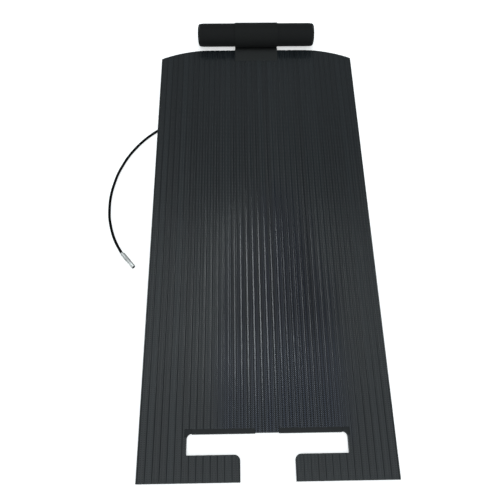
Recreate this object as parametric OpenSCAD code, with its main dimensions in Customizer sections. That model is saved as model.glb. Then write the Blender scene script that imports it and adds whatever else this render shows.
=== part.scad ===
// Flexible solar sheet. A soft ribbed mat carries thin-film cell strips along its length. A round bolster
// on a neck strap closes the head, and a T-shaped slot cut in the foot takes that bolster. A short lead
// with a metal barrel plug leaves a flat junction moulding at the left edge.
// Millimetres. +X is right, +Y is towards the head and +Z is up. The origin is at the bottom centre of
// the sheet and its bolster, with the lead left out. The sheet lies flat on its back.

/* [Sheet] */
// Width of one cell strip with its rib
strip_pitch = 10; // [9.8:0.1:10.2]
// Number of cell strips side by side
strip_count = 36; // [35:1:37]
// Plain margin outside the first and last strip
side_margin = 2; // [1.5:0.1:3]
// Length from the foot edge to the head edge
sheet_l = 780; // [770:5:800]
// Thickness of the rubbery backing
backing_t = 4.8; // [4.8:0.1:5.2]
// Thickness of the cell strips
cell_t = 0.3; // [0.2:0.05:0.4]
// Thickness of the front film over the cells, at the crest of a rib
film_t = 0.9; // [0.9:0.1:1.2]

/* [Ribs] */
// Width of a groove between two ribs at the crest
groove_w = 1.6; // [1:0.1:2]
// Depth of a groove
groove_depth = 0.6; // [0.4:0.05:0.7]
// Width of the plain welded band along the foot edge
foot_band = 3; // [2:0.5:5]

/* [Bending] */
// Gap between two of the stiff lengths that stand for the bending sheet
panel_gap = 0.4; // [0.3:0.05:0.6]

/* [T-slot] */
// Length of the two feet beside the throat, along the sheet
foot_l = 36; // [30:1:38]
// Width of the wide part of the slot, across the sheet
slot_w = 228; // [226:1:240]
// Length of the wide part of the slot, along the sheet
slot_l = 29; // [28:1:36]
// Width of the throat between the two feet
throat_w = 77; // [70:1:84]
// Corner radius at the head side of the slot
slot_corner_r = 7; // [4:0.5:9]
// Corner radius of each foot beside the throat
foot_corner_r = 8; // [4:0.5:12]
// Width of the binding strips on the slot's head side
trim_w = 6; // [4:0.5:7]

/* [Head] */
// Half width of the straight middle of the head edge
shoulder_x = 87; // [70:1:100]
// How far the head corners fall back from the head edge
shoulder_drop = 21.2; // [15:0.2:24]
// Width of the neck strap
neck_w = 82; // [74:1:90]
// Length of the strap that is welded onto the sheet
tab_l = 27; // [20:1:28]

/* [Bolster] */
// Length over the domed ends
roll_l = 226; // [200:1:227]
// Radius of the fabric cover
roll_r = 21.2; // [20:0.2:24]
// Distance from the head edge to the bolster's axis
roll_offset = 23; // [22:0.5:26]
// Bulge of each domed end
dome_l = 4; // [3:0.5:6]
// Thickness of the fabric cover
cover_t = 1; // [0.6:0.1:1.5]
// Outer radius of the core tube
core_r = 9; // [7:0.5:12]

/* [Lead and plug] */
// Diameter of the lead
lead_d = 4.4; // [4:0.1:4.4]
// Diameter of the plug's rear shell
plug_shell_d = 8.8; // [8.6:0.1:9.2]
// Diameter of the plug's barrel
plug_barrel_d = 7.9; // [7.7:0.1:7.9]
// Free length of the barrel in front of the shell
plug_barrel_l = 12; // [10:0.5:13]

/* [Hidden] */
$fn = 64;
arc_steps = 8;                                  // straight pieces in a quarter of an outline arc
strap_t = cell_t + film_t;                      // strap is as thick as the layers that it replaces
sheet_t = backing_t + cell_t + film_t;
sheet_w = strip_count * strip_pitch + 2 * side_margin;
half_w = sheet_w / 2;
wrap_r = roll_r + strap_t;                      // outer radius of the strap around the bolster
foot_y = -(sheet_l + roll_offset + wrap_r) / 2;
head_y = foot_y + sheet_l;
roll_y = head_y + roll_offset;
roll_z = wrap_r;
slot_y = foot_y + foot_l + slot_l;              // head side of the T-slot
panel_count = 7;                                // stiff lengths that stand for the bending sheet
panel_l = sheet_l / panel_count;
root_panel = panel_count - 1;                   // the length that holds the junction moulding
past = 5;                                       // how far a cutter runs past what it cuts
skin = 0.3;                                     // clearance round a part in its pocket

cell_gap = 1.4;                                 // bare width between two cell strips
cell_w = strip_pitch - cell_gap;
cell_y0 = slot_y + 8;                           // the cells stay this clear of the slot
cell_y1 = head_y - tab_l - 3;                   // and this clear of the neck strap
ribbon_w = 3;
ribbon_t = 0.2;
ribbon_x = half_w - side_margin - strip_pitch / 2;
long_ribbon_y = 214;
short_ribbon_y = 196;

trim_x0 = 17;                                   // the binding leaves the middle of the slot free
trim_x1 = slot_w / 2 - slot_corner_r;
trim_lap = 1;                                   // the binding laps over the slot's edge by this much

box_x = -142;                                   // middle of the junction moulding
box_y = 202;
box_w = 32;
box_l = 42;
box_wall = 1.2;
box_lid_z = 0.1;
box_lid_t = 0.5;
box_gasket_t = 0.3;
box_z0 = box_lid_z + box_lid_t + box_gasket_t;
box_roof_z = 3.8;
box_top_z = backing_t - ribbon_t;
screw_r = 0.8;
screw_l = 2.6;
screw_play = 0.02;
screw_inset = 3;
boss_r = 2.2;                                   // screw bosses merge with the walls beside them
screw_x = box_w / 2 - screw_inset;
screw_y = box_l / 2 - screw_inset;
terminal_x = 8;
post_w = 2.4;

lead_r = lead_d / 2;
lead_y = 188;                                   // where the lead leaves the moulding
relief_l = 8;
relief_w = 8.4;
core_bore_r = 1.2;
wire_r = 0.45;
wire_l = 10;
rise = plug_shell_d / 2;                        // the plug lies on the ground, so its axis is this high
// The lead's route from the moulding to the inside of the plug
LEAD_ROUTE = [
    [-158, 188, lead_r], [-166, 188, lead_r], [-174, 184.5, lead_r], [-182, 179.5, lead_r],
    [-193, 170.5, lead_r], [-202.5, 161.5, lead_r], [-211.5, 151.5, lead_r], [-219.5, 141, lead_r],
    [-227, 130, lead_r], [-233.5, 118.5, lead_r], [-239, 106.5, lead_r], [-244, 94.5, lead_r],
    [-248, 82, lead_r], [-251, 69, lead_r], [-253.5, 56, lead_r], [-255, 43, lead_r],
    [-255.5, 30, lead_r], [-255, 17, lead_r], [-254, 4, lead_r], [-251.5, -9, lead_r],
    [-248, -22, lead_r], [-243.5, -35, lead_r], [-238, -47, 2.6], [-231.5, -58.5, 3.8],
    [-227.5, -65, rise], [-222.5, -71, rise]
];
LEAD_SIDES = 10;
// Outline of the channel in the backing that the lead leaves by
CHANNEL = [
    [-half_w - past, 173], [-half_w - past, 187], [-170, 193], [-157, 193], [-157, 183], [-168, 183]
];
plug_x = -227.5;
plug_y = -65;
plug_turn = -50;
plug_neck_l = 2.5;
plug_neck_r = 3.1;
plug_shell_l = 20.5;
plug_seat_l = 6;                                // barrel length held inside the shell
plug_seat_r = 3.6;
plug_back = plug_shell_l - plug_seat_l;
plug_tip = plug_shell_l + plug_barrel_l;
plug_bore_r = 3.2;
plug_pin_hole_r = 2.75;
plug_pin_r = 0.5;

// ---- Outline of the whole sheet ----

// Points of an arc about (cx, cy) from angle a to angle b
function arc(cx, cy, r, a, b, steps = arc_steps) =
    [for (k = [0:steps]) let (t = a + (b - a) * k / steps) [cx + r * cos(t), cy + r * sin(t)]];

// The same points in the opposite half of the sheet, in the opposite order
function mirrored(points) = [for (k = [len(points) - 1:-1:0]) [-points[k][0], points[k][1]]];

shoulder_w = half_w - shoulder_x;
shoulder_r = (shoulder_w * shoulder_w + shoulder_drop * shoulder_drop) / (2 * shoulder_drop);
shoulder_turn = asin(shoulder_w / shoulder_r);

right_side = concat(
    arc(slot_w / 2 - slot_corner_r, slot_y - slot_corner_r, slot_corner_r, 90, 0),
    [[slot_w / 2, foot_y + foot_l]],
    arc(throat_w / 2 + foot_corner_r, foot_y + foot_l - foot_corner_r, foot_corner_r, 90, 180),
    [[throat_w / 2, foot_y], [half_w, foot_y]],
    arc(shoulder_x, head_y - shoulder_r, shoulder_r, 90 - shoulder_turn, 90)
);

module sheet_outline() {
    polygon(concat(right_side, mirrored(right_side)));
}

// ---- The lengths that the sheet is divided into, 1 at the foot ----

function edge_y(i) = foot_y + (i - 1) * panel_l;
function low_y(i) = edge_y(i) + panel_gap / 2;
function high_y(i) = edge_y(i + 1) - panel_gap / 2;

module panel_band(i) {
    y0 = i == 1 ? foot_y - past : low_y(i);
    y1 = i == panel_count ? head_y + past : high_y(i);
    translate([-half_w - past, y0]) square([sheet_w + 2 * past, y1 - y0]);
}

module panel_outline(i) {
    intersection() {
        sheet_outline();
        panel_band(i);
    }
}

// Start and end of the cells and ribbons within one length
function live_y0(i) = max(cell_y0, edge_y(i) + panel_gap);
function live_y1(i) = min(cell_y1, edge_y(i + 1) - panel_gap);

// A straight block for a recess, which runs out through the joints with the next lengths
module recess(i, x0, x1, z0, height) {
    y0 = i == 1 ? cell_y0 - skin : edge_y(i) - past;
    y1 = i == panel_count ? cell_y1 + skin : edge_y(i + 1) + past;
    translate([x0, y0, z0]) cube([x1 - x0, y1 - y0, height]);
}

// ---- Sheet layers ----

module ribbon_grooves(i) {
    for (side = [-1, 1])
        recess(i, side * ribbon_x - ribbon_w / 2 - skin, side * ribbon_x + ribbon_w / 2 + skin,
               backing_t - ribbon_t, past);
}

module cross_groove(x0, x1, y) {
    translate([x0, y - ribbon_w / 2 - skin, backing_t - ribbon_t]) cube([x1 - x0, ribbon_w + 2 * skin, past]);
}

module junction_pocket() {
    translate([box_x - box_w / 2 - skin, box_y - box_l / 2 - skin, -past])
        cube([box_w + 2 * skin, box_l + 2 * skin, backing_t + 2 * past]);
    translate([0, 0, -past]) linear_extrude(backing_t + 2 * past) polygon(CHANNEL);
    cross_groove(box_x, ribbon_x, long_ribbon_y);
    cross_groove(-ribbon_x, box_x, short_ribbon_y);
}

module backing(i) {
    color("#22262a")
    difference() {
        linear_extrude(backing_t) panel_outline(i);
        ribbon_grooves(i);
        if (i == root_panel) junction_pocket();
    }
}

module cells(i) {
    color("#101a2c")
    for (k = [0:strip_count - 1]) {
        x0 = -half_w + side_margin + k * strip_pitch + cell_gap / 2;
        translate([x0, live_y0(i), backing_t]) cube([cell_w, live_y1(i) - live_y0(i), cell_t]);
    }
}

module bus_ribbons(i) {
    color("#b87333")
    for (side = [-1, 1])
        translate([side * ribbon_x - ribbon_w / 2, live_y0(i), backing_t - ribbon_t])
            cube([ribbon_w, live_y1(i) - live_y0(i), ribbon_t]);
}

module cross_ribbons() {
    color("#b87333") {
        translate([box_x + terminal_x - ribbon_w / 2, long_ribbon_y - ribbon_w / 2, backing_t - ribbon_t])
            cube([ribbon_x - ribbon_w - box_x - terminal_x, ribbon_w, ribbon_t]);
        translate([-ribbon_x + ribbon_w / 2, short_ribbon_y - ribbon_w / 2, backing_t - ribbon_t])
            cube([box_x - terminal_x + ribbon_x, ribbon_w, ribbon_t]);
    }
}

// Cross-section of the front film: flat underneath, one groove at each edge of every strip
rib_profile = concat(
    [[-half_w, backing_t]],
    [[-half_w, sheet_t]],
    [for (k = [0:strip_count])
        let (x = -half_w + side_margin + k * strip_pitch)
        for (p = [[-1 / 2, 0], [-1 / 4, groove_depth], [1 / 4, groove_depth], [1 / 2, 0]])
            [x + p[0] * groove_w, sheet_t - p[1]]],
    [[half_w, sheet_t]],
    [[half_w, backing_t]]
);

module ribbed_slab(i) {
    y0 = i == 1 ? foot_y : low_y(i);
    y1 = i == panel_count ? head_y : high_y(i);
    translate([0, y1, 0]) rotate([90, 0, 0]) linear_extrude(y1 - y0) polygon(rib_profile);
}

module foot_band_cut() {
    translate([-half_w - past, foot_y - past, sheet_t - groove_depth / 2])
        cube([sheet_w + 2 * past, foot_band + past, past]);
}

module trim_cut(side) {
    translate([side > 0 ? trim_x0 - skin : -trim_x1 - past, slot_y - past, -past])
        cube([trim_x1 - trim_x0 + past + skin, trim_w + skin + past, sheet_t + 2 * past]);
}

module tab_cut() {
    translate([-neck_w / 2 - skin, head_y - tab_l - skin, -past])
        cube([neck_w + 2 * skin, tab_l + skin + past, sheet_t + 2 * past]);
}

module front_film(i) {
    color("#2c3238")
    difference() {
        intersection() {
            ribbed_slab(i);
            if (i == 1 || i == panel_count)
                linear_extrude(sheet_t + past) panel_outline(i);
        }
        recess(i, -half_w + side_margin - skin, half_w - side_margin + skin, backing_t - past, past + cell_t);
        if (i == 1) {
            foot_band_cut();
            trim_cut(-1);
            trim_cut(1);
        }
        if (i == panel_count) tab_cut();
    }
}

// Binding on the slot's head side: a flat leg on the backing and a short leg over the edge
module slot_trim(side) {
    x0 = side > 0 ? trim_x0 : -trim_x1;
    length = trim_x1 - trim_x0;
    color("#191c1f")
    translate([x0, slot_y - trim_lap, 0]) {
        translate([0, 0, backing_t]) cube([length, trim_w + trim_lap, sheet_t - backing_t]);
        translate([0, 0, skin]) cube([length, trim_lap, backing_t]);
    }
}

// ---- Bolster and its strap ----

module neck_tab() {
    color("#1d2023")
    translate([-neck_w / 2, head_y - tab_l, backing_t]) cube([neck_w, tab_l - panel_gap / 2, strap_t]);
}

// Lays a shape drawn around +Z along +X, on the bolster's axis
module on_roll_axis() {
    translate([0, roll_y, roll_z]) rotate([0, 90, 0]) children();
}

// The strap runs from the head edge down under the bolster and once around it
module roll_wrap() {
    run_in = roll_r + strap_t / 2;
    top_turn = 18;                              // degrees before the bolster's underside, for each point
    end_turn = 10;
    low_turn = 22;
    under = [[head_y + panel_gap / 2, backing_t], [head_y + panel_gap / 2, sheet_t],
             [roll_y - run_in * sin(top_turn), roll_z - run_in * cos(top_turn)],
             [roll_y - run_in * sin(end_turn), roll_z - run_in * cos(end_turn)],
             [roll_y - run_in * sin(low_turn), roll_z - (run_in + strap_t / 4) * cos(low_turn)]];
    color("#1d2023")
    union() {
        on_roll_axis() difference() {
            translate([0, 0, -neck_w / 2]) cylinder(r = wrap_r, h = neck_w);
            translate([0, 0, -neck_w / 2 - past]) cylinder(r = roll_r, h = neck_w + 2 * past);
        }
        translate([-neck_w / 2, 0, 0]) rotate([90, 0, 90]) linear_extrude(neck_w) polygon(under);
    }
}

module roll_tube(r_out, r_in, length) {
    on_roll_axis() difference() {
        translate([0, 0, -length / 2]) cylinder(r = r_out, h = length);
        translate([0, 0, -length / 2 - past]) cylinder(r = r_in, h = length + 2 * past);
    }
}

module roll_cover() {
    color("#1b1e21") roll_tube(roll_r, roll_r - cover_t, roll_l - 2 * dome_l);
}

module roll_foam() {
    color("#3a3d40") roll_tube(roll_r - cover_t, core_r, roll_l - 2 * dome_l);
}

module roll_core() {
    wall = 1.5;
    color("#9aa0a6") roll_tube(core_r, core_r - wall, roll_l - 2 * dome_l);
}

// A domed end: flat inside, a quarter ellipse outside
module roll_end(side) {
    dome = [for (t = [0:90 / arc_steps:90]) [roll_r * cos(t), dome_l * sin(t)]];
    color("#1b1e21")
    translate([side * (roll_l / 2 - dome_l), roll_y, roll_z]) rotate([0, side * 90, 0])
        rotate_extrude() polygon(concat([[0, 0]], dome));
}

// ---- Junction moulding, set flush into the back of the sheet ----

module box_block(inset, z0, z1) {
    translate([box_x - box_w / 2 + inset, box_y - box_l / 2 + inset, z0])
        cube([box_w - 2 * inset, box_l - 2 * inset, z1 - z0]);
}

module at_screws() {
    for (sx = [-1, 1], sy = [-1, 1]) translate([box_x + sx * screw_x, box_y + sy * screw_y, 0]) children();
}

module junction_base() {
    post_hole = post_w + 0.2;
    color("#26292c")
    difference() {
        box_block(0, box_z0, box_top_z);
        difference() {
            box_block(box_wall, box_z0 - past, box_roof_z);
            at_screws() cylinder(r = boss_r, h = box_top_z);
        }
        at_screws() translate([0, 0, -past]) cylinder(r = screw_r + screw_play, h = box_roof_z + past);
        for (side = [-1, 1])
            translate([box_x + side * terminal_x - post_hole / 2, terminal_y(side) - post_hole / 2, box_z0])
                cube([post_hole, post_hole, past + box_top_z]);
        translate([box_x - box_w / 2 - past, lead_y, lead_r]) rotate([0, 90, 0])
            cylinder(r = core_bore_r, h = past + 2 * box_wall);
    }
}

module junction_lid() {
    color("#2b2e31")
    difference() {
        box_block(0, box_lid_z, box_lid_z + box_lid_t);
        at_screws() cylinder(r = 2 * screw_r + 0.1, h = past);
    }
}

module junction_gasket() {
    color("#121315")
    difference() {
        box_block(0, box_lid_z + box_lid_t, box_z0);
        difference() {
            box_block(box_wall, 0, past);
            at_screws() cylinder(r = boss_r, h = past);
        }
        at_screws() cylinder(r = screw_r + screw_play, h = past);
    }
}

module lid_screws() {
    color("#8d9196")
    at_screws() {
        translate([0, 0, box_lid_z]) cylinder(r = 2 * screw_r, h = box_lid_t);
        translate([0, 0, box_lid_z + box_lid_t]) cylinder(r = screw_r, h = screw_l);
    }
}

// Each terminal sits under the end of its own cross ribbon
function terminal_y(side) = side > 0 ? long_ribbon_y : short_ribbon_y;

module terminal(side) {
    plate_w = 5;
    plate_t = 0.6;
    color("#c9a227")
    translate([box_x + side * terminal_x, terminal_y(side), 0]) {
        translate([-plate_w / 2, -plate_w / 2, box_roof_z - plate_t]) cube([plate_w, plate_w, plate_t]);
        translate([-post_w / 2, -post_w / 2, box_roof_z]) cube([post_w, post_w, box_top_z - box_roof_z]);
    }
}

module blocking_diode() {
    body_l = 7;
    body_w = 5.8;
    body_h = 2;
    leg_w = 3;
    leg_l = 1.2;
    leg_t = 0.3;
    color("#15171a")
    translate([box_x, box_y, box_roof_z - body_h - 0.1]) {
        translate([-body_w / 2, -body_l / 2, 0]) cube([body_w, body_l, body_h]);
        for (side = [-1, 1])
            translate([-leg_w / 2, side * (body_l + leg_l) / 2 - leg_l / 2, body_h - leg_t])
                cube([leg_w, leg_l, leg_t]);
    }
}

// ---- Lead ----

module lead_cores() {
    off_axis = 0.6;
    color("#b03030")
    for (side = [-1, 1])
        translate([box_x - box_w / 2, lead_y + side * off_axis, lead_r]) rotate([0, 90, 0])
            cylinder(r = wire_r, h = wire_l);
}

// A saddle that grips the lead beside the moulding
module strain_relief() {
    x1 = box_x - box_w / 2 - skin;
    color("#17191c")
    difference() {
        translate([x1 - relief_l, lead_y - relief_w / 2, skin])
            cube([relief_l, relief_w, backing_t - ribbon_t - skin]);
        translate([x1 - relief_l - past, lead_y, lead_r]) rotate([0, 90, 0])
            cylinder(r = lead_r + 0.05, h = relief_l + 2 * past);
    }
}

function unit(v) = v / norm(v);

function heading(route, i) = unit(route[min(i + 1, len(route) - 1)] - route[max(i - 1, 0)]);

// A ring of points across the route at its point i
function ring(route, i, r, sides) =
    let (ahead = heading(route, i), across = unit(cross(ahead, [0, 0, 1])), above = cross(across, ahead))
    [for (k = [0:sides - 1]) route[i] + r * (across * cos(360 * k / sides) + above * sin(360 * k / sides))];

module swept_tube(route, r, sides) {
    last = (len(route) - 1) * sides;
    points = [for (i = [0:len(route) - 1]) each ring(route, i, r, sides)];
    walls = [for (i = [0:len(route) - 2], k = [0:sides - 1])
        let (a = i * sides + k, b = i * sides + (k + 1) % sides) [a, b, b + sides, a + sides]];
    start_cap = [[for (k = [sides - 1:-1:0]) k]];
    end_cap = [[for (k = [0:sides - 1]) last + k]];
    polyhedron(points, concat(walls, start_cap, end_cap), convexity = 4);
}

module output_lead() {
    color("#141618") swept_tube(LEAD_ROUTE, lead_r, LEAD_SIDES);
}

// ---- Barrel plug, lying on the ground ----

module on_plug_axis() {
    translate([plug_x, plug_y, rise]) rotate([0, 0, plug_turn]) rotate([0, 90, 0]) children();
}

module plug_shell() {
    shell_r = plug_shell_d / 2;
    bevel = 0.5;
    color("#c4c6c8")
    on_plug_axis() rotate_extrude() polygon([
        [lead_r + 0.1, 0], [plug_neck_r, 0], [plug_neck_r, plug_neck_l], [shell_r - bevel, plug_neck_l],
        [shell_r, plug_neck_l + bevel], [shell_r, plug_shell_l - bevel], [shell_r - bevel / 2, plug_shell_l],
        [plug_seat_r, plug_shell_l], [plug_seat_r, plug_back], [lead_r + 0.1, plug_back]
    ]);
}

module plug_barrel() {
    barrel_r = plug_barrel_d / 2;
    lip = 0.3;
    color("#d0d2d4")
    on_plug_axis() rotate_extrude() polygon([
        [plug_bore_r, plug_back], [plug_seat_r, plug_back], [plug_seat_r, plug_shell_l],
        [barrel_r, plug_shell_l], [barrel_r, plug_tip - lip],
        [barrel_r - lip, plug_tip], [plug_bore_r, plug_tip]
    ]);
}

module plug_insulator() {
    front = plug_tip - 0.5;
    color("#0f1011")
    on_plug_axis() rotate_extrude() polygon([
        [plug_pin_r, plug_back], [plug_bore_r, plug_back], [plug_bore_r, front],
        [plug_pin_hole_r, front], [plug_pin_hole_r, plug_shell_l], [plug_pin_r, plug_shell_l]
    ]);
}

module plug_centre_pin() {
    root = plug_back - 3;
    end = plug_tip - 2;
    color("#c9a227")
    on_plug_axis() translate([0, 0, root]) cylinder(r = plug_pin_r, h = end - root);
}

for (i = [1:panel_count]) {
    backing(i);
    cells(i);
    bus_ribbons(i);
    front_film(i);
}
cross_ribbons();
slot_trim(-1);  // slot_trim_left
slot_trim(1);  // slot_trim_right
neck_tab();
roll_wrap();
roll_cover();
roll_end(-1);  // roll_end_left
roll_end(1);  // roll_end_right
roll_foam();
roll_core();
junction_base();
junction_lid();
junction_gasket();
lid_screws();
terminal(1);  // terminal_positive
terminal(-1);  // terminal_negative
blocking_diode();
lead_cores();
strain_relief();
output_lead();
plug_shell();
plug_barrel();
plug_insulator();
plug_centre_pin();
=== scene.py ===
import math

import bmesh
import bpy
import numpy as np
from mathutils import Matrix, Vector
from mathutils.bvhtree import BVHTree


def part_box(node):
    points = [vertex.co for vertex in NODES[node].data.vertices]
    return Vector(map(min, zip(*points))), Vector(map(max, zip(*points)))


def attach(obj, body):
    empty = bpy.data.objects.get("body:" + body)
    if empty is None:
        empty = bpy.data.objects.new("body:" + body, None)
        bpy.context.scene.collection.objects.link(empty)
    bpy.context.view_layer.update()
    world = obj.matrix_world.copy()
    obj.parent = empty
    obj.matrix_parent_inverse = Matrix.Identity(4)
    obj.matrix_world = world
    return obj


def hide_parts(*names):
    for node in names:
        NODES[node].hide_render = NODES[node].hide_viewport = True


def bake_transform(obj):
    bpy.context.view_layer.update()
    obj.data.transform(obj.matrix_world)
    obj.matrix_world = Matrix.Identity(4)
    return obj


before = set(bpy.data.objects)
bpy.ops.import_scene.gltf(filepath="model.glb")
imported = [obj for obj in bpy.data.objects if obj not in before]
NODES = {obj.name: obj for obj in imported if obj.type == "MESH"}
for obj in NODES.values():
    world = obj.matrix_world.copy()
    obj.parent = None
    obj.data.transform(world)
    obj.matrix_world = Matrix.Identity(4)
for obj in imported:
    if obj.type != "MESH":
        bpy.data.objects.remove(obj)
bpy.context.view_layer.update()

# ---- Dimensions, in metres, from the frame ----

MM = 0.001
MAP_UNIT = 0.1                              # metres in one unit of a UV map
FOOT_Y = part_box("backing_1")[0].y
HEAD_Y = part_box("backing_7")[1].y
HALF_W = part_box("backing_1")[1].x
BACK_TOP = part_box("backing_1")[1].z
FILM_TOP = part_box("front_film_1")[1].z
CELL_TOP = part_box("cells_3")[1].z
CELL_Y0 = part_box("cells_1")[0].y
CELL_Y1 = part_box("cells_7")[1].y
RIBBON_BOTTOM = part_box("bus_ribbons_3")[0].z
RIBBON_X1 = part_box("bus_ribbons_3")[1].x
ROLL_LOW, ROLL_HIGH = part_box("roll_cover")
ROLL_AXIS = Vector((0, (ROLL_LOW.y + ROLL_HIGH.y) / 2, (ROLL_LOW.z + ROLL_HIGH.z) / 2))
ROLL_R = (ROLL_HIGH.y - ROLL_LOW.y) / 2
ROLL_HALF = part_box("roll_end_right")[1].x
TAB_LOW, TAB_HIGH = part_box("neck_tab")
TRIM_LOW, TRIM_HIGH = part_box("slot_trim_right")
STRAP_T = TAB_HIGH.z - TAB_LOW.z

STRIPS = 36
PITCH = 10 * MM
MARGIN = HALF_W - STRIPS * PITCH / 2
GROOVE_W = 1.4 * MM
GROOVE_DEPTH = 0.5 * MM
CROWN = 0.4 * MM                            # how much higher a rib's middle is than its edges, at most
FULL_X = 20 * MM                            # the ribs are fullest along this line
FULL_HALF = 90 * MM                         # and flatten out over this width
FOOT_BAND = 3 * MM
SHOULDER_X = 87 * MM                        # half width of the straight middle of the head edge
SHOULDER_DROP = 21.2 * MM
FOOT_L = 36 * MM
SLOT_L = 29 * MM
SLOT_HALF = 114 * MM
THROAT_HALF = 38.5 * MM
SLOT_CORNER = 7 * MM
FOOT_CORNER = 8 * MM
SLOT_Y = FOOT_Y + FOOT_L + SLOT_L

JUNCTION_LOW, JUNCTION_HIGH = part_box("junction_base")
POCKET_GAP = 0.3 * MM
POCKET_LOW = JUNCTION_LOW - Vector((POCKET_GAP, POCKET_GAP, 0))
POCKET_HIGH = JUNCTION_HIGH + Vector((POCKET_GAP, POCKET_GAP, 0))
LEAD_Y = 188 * MM                           # where the lead leaves the moulding

PANELS = 7
PANEL_L = (HEAD_Y - FOOT_Y) / PANELS
BEND_HALF = 27 * MM                         # how far a bend spreads to each side of its joint
FINE_STEP = 3.6 * MM                        # spacing of the mesh's rows in a bend
COARSE_STEP = 9 * MM                        # and between bends

# ---- Camera ----

CAMERA_PLACE = (-0.034, FOOT_Y - 0.038, 0.838)
CAMERA_TURN = math.radians(-2.16)
CAMERA_TILT = math.radians(90 - 64.98)
CAMERA_ROLL = math.radians(1.28)
CAMERA_LENS = 40.6                          # millimetres, on a sensor CAMERA_SENSOR wide
CAMERA_SENSOR = 36


def add_camera():
    data = bpy.data.cameras.new("camera")
    data.lens = CAMERA_LENS
    data.sensor_width = CAMERA_SENSOR
    data.clip_start = 0.01
    camera = bpy.data.objects.new("camera", data)
    turn = (Matrix.Rotation(CAMERA_TURN, 4, "Z") @ Matrix.Rotation(CAMERA_TILT, 4, "X")
            @ Matrix.Rotation(CAMERA_ROLL, 4, "Z"))
    camera.matrix_world = Matrix.Translation(CAMERA_PLACE) @ turn
    bpy.context.collection.objects.link(camera)
    bpy.context.scene.camera = camera


add_camera()

# ---- Mesh helpers ----


def new_object(name, verts, faces):
    """A mesh object whose faces all look outwards."""
    mesh = bpy.data.meshes.new(name)
    mesh.from_pydata([tuple(v) for v in verts], [], faces)
    bm = bmesh.new()
    bm.from_mesh(mesh)
    bmesh.ops.recalc_face_normals(bm, faces=bm.faces)
    bm.to_mesh(mesh)
    bm.free()
    obj = bpy.data.objects.new(name, mesh)
    bpy.context.collection.objects.link(obj)
    return obj


def shade_smooth(obj, angle=35):
    """Smooth shading, with an edge kept sharp where its faces turn by more than angle."""
    obj.data.polygons.foreach_set("use_smooth", [True] * len(obj.data.polygons))
    obj.data.set_sharp_from_angle(angle=math.radians(angle))


def apply_modifiers(obj):
    depsgraph = bpy.context.evaluated_depsgraph_get()
    mesh = bpy.data.meshes.new_from_object(obj.evaluated_get(depsgraph))
    obj.modifiers.clear()
    obj.data = mesh


def store_map(obj, places):
    """Stores a flat place for each vertex as the UV map "rest", in decimetres, so that a pattern stays on
    the surface when it bends."""
    mesh = obj.data
    layer = mesh.uv_layers.get("rest") or mesh.uv_layers.new(name="rest")
    index = np.zeros(len(mesh.loops), int)
    mesh.loops.foreach_get("vertex_index", index)
    layer.data.foreach_set("uv", (np.asarray(places)[index] / MAP_UNIT).ravel())


def rest_map(obj):
    """Maps each point by its rest place across and along the sheet."""
    store_map(obj, [v.co[:2] for v in obj.data.vertices])


def slab(name, xs, ys, top, bottom):
    """A closed slab on a grid of xs and ys. top and bottom are functions of x and y arrays."""
    gx, gy = np.meshgrid(xs, ys)
    upper = np.stack([gx, gy, top(gx, gy)], -1).reshape(-1, 3)
    lower = np.stack([gx, gy, bottom(gx, gy)], -1).reshape(-1, 3)
    nx, ny, n = len(xs), len(ys), len(xs) * len(ys)
    faces = []
    for j in range(ny - 1):
        for i in range(nx - 1):
            a = j * nx + i
            faces.append((a, a + 1, a + nx + 1, a + nx))
            faces.append((n + a, n + a + nx, n + a + nx + 1, n + a + 1))
    for i in range(nx - 1):
        b = (ny - 1) * nx + i
        faces.append((i, n + i, n + i + 1, i + 1))
        faces.append((b, b + 1, n + b + 1, n + b))
    for j in range(ny - 1):
        a, b = j * nx, j * nx + nx - 1
        faces.append((a, a + nx, n + a + nx, n + a))
        faces.append((b, n + b, n + b + nx, b + nx))
    return new_object(name, np.concatenate([upper, lower]), faces)


def arc(cx, cy, r, a, b, steps=10):
    angles = [math.radians(a + (b - a) * k / steps) for k in range(steps + 1)]
    return [(cx + r * math.cos(t), cy + r * math.sin(t)) for t in angles]


def outline_prism(name, points, z0, z1):
    """A closed prism with the given outline, for cutting."""
    n = len(points)
    verts = [(x, y, z0) for x, y in points] + [(x, y, z1) for x, y in points]
    faces = [tuple(range(n - 1, -1, -1)), tuple(range(n, 2 * n))]
    faces += [(i, (i + 1) % n, n + (i + 1) % n, n + i) for i in range(n)]
    return new_object(name, verts, faces)


def cut(obj, cutter):
    """Cuts the cutter's shape out of obj, and closes any pinhole that the cut leaves."""
    modifier = obj.modifiers.new("cut", "BOOLEAN")
    modifier.operation = "DIFFERENCE"
    modifier.solver = "EXACT"
    modifier.object = cutter
    apply_modifiers(obj)
    bpy.data.objects.remove(cutter)
    bm = bmesh.new()
    bm.from_mesh(obj.data)
    bmesh.ops.holes_fill(bm, edges=[edge for edge in bm.edges if edge.is_boundary])
    bm.to_mesh(obj.data)
    bm.free()


def tube(name, points, radius, sides):
    """A closed round tube along points."""
    verts, faces = [], []
    across = Vector((0, 0, 1))
    for k, p in enumerate(points):
        ahead = (points[min(k + 1, len(points) - 1)] - points[max(k - 1, 0)]).normalized()
        across = (across - ahead * across.dot(ahead)).normalized()
        side = ahead.cross(across)
        for i in range(sides):
            t = 2 * math.pi * i / sides
            verts.append(p + radius * (across * math.cos(t) + side * math.sin(t)))
    for k in range(len(points) - 1):
        a = k * sides
        faces += [(a + i, a + (i + 1) % sides, a + sides + (i + 1) % sides, a + sides + i)
                  for i in range(sides)]
    last = (len(points) - 1) * sides
    faces += [tuple(range(sides - 1, -1, -1)), tuple(range(last, last + sides))]
    obj = new_object(name, verts, faces)
    shade_smooth(obj)
    return obj


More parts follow.
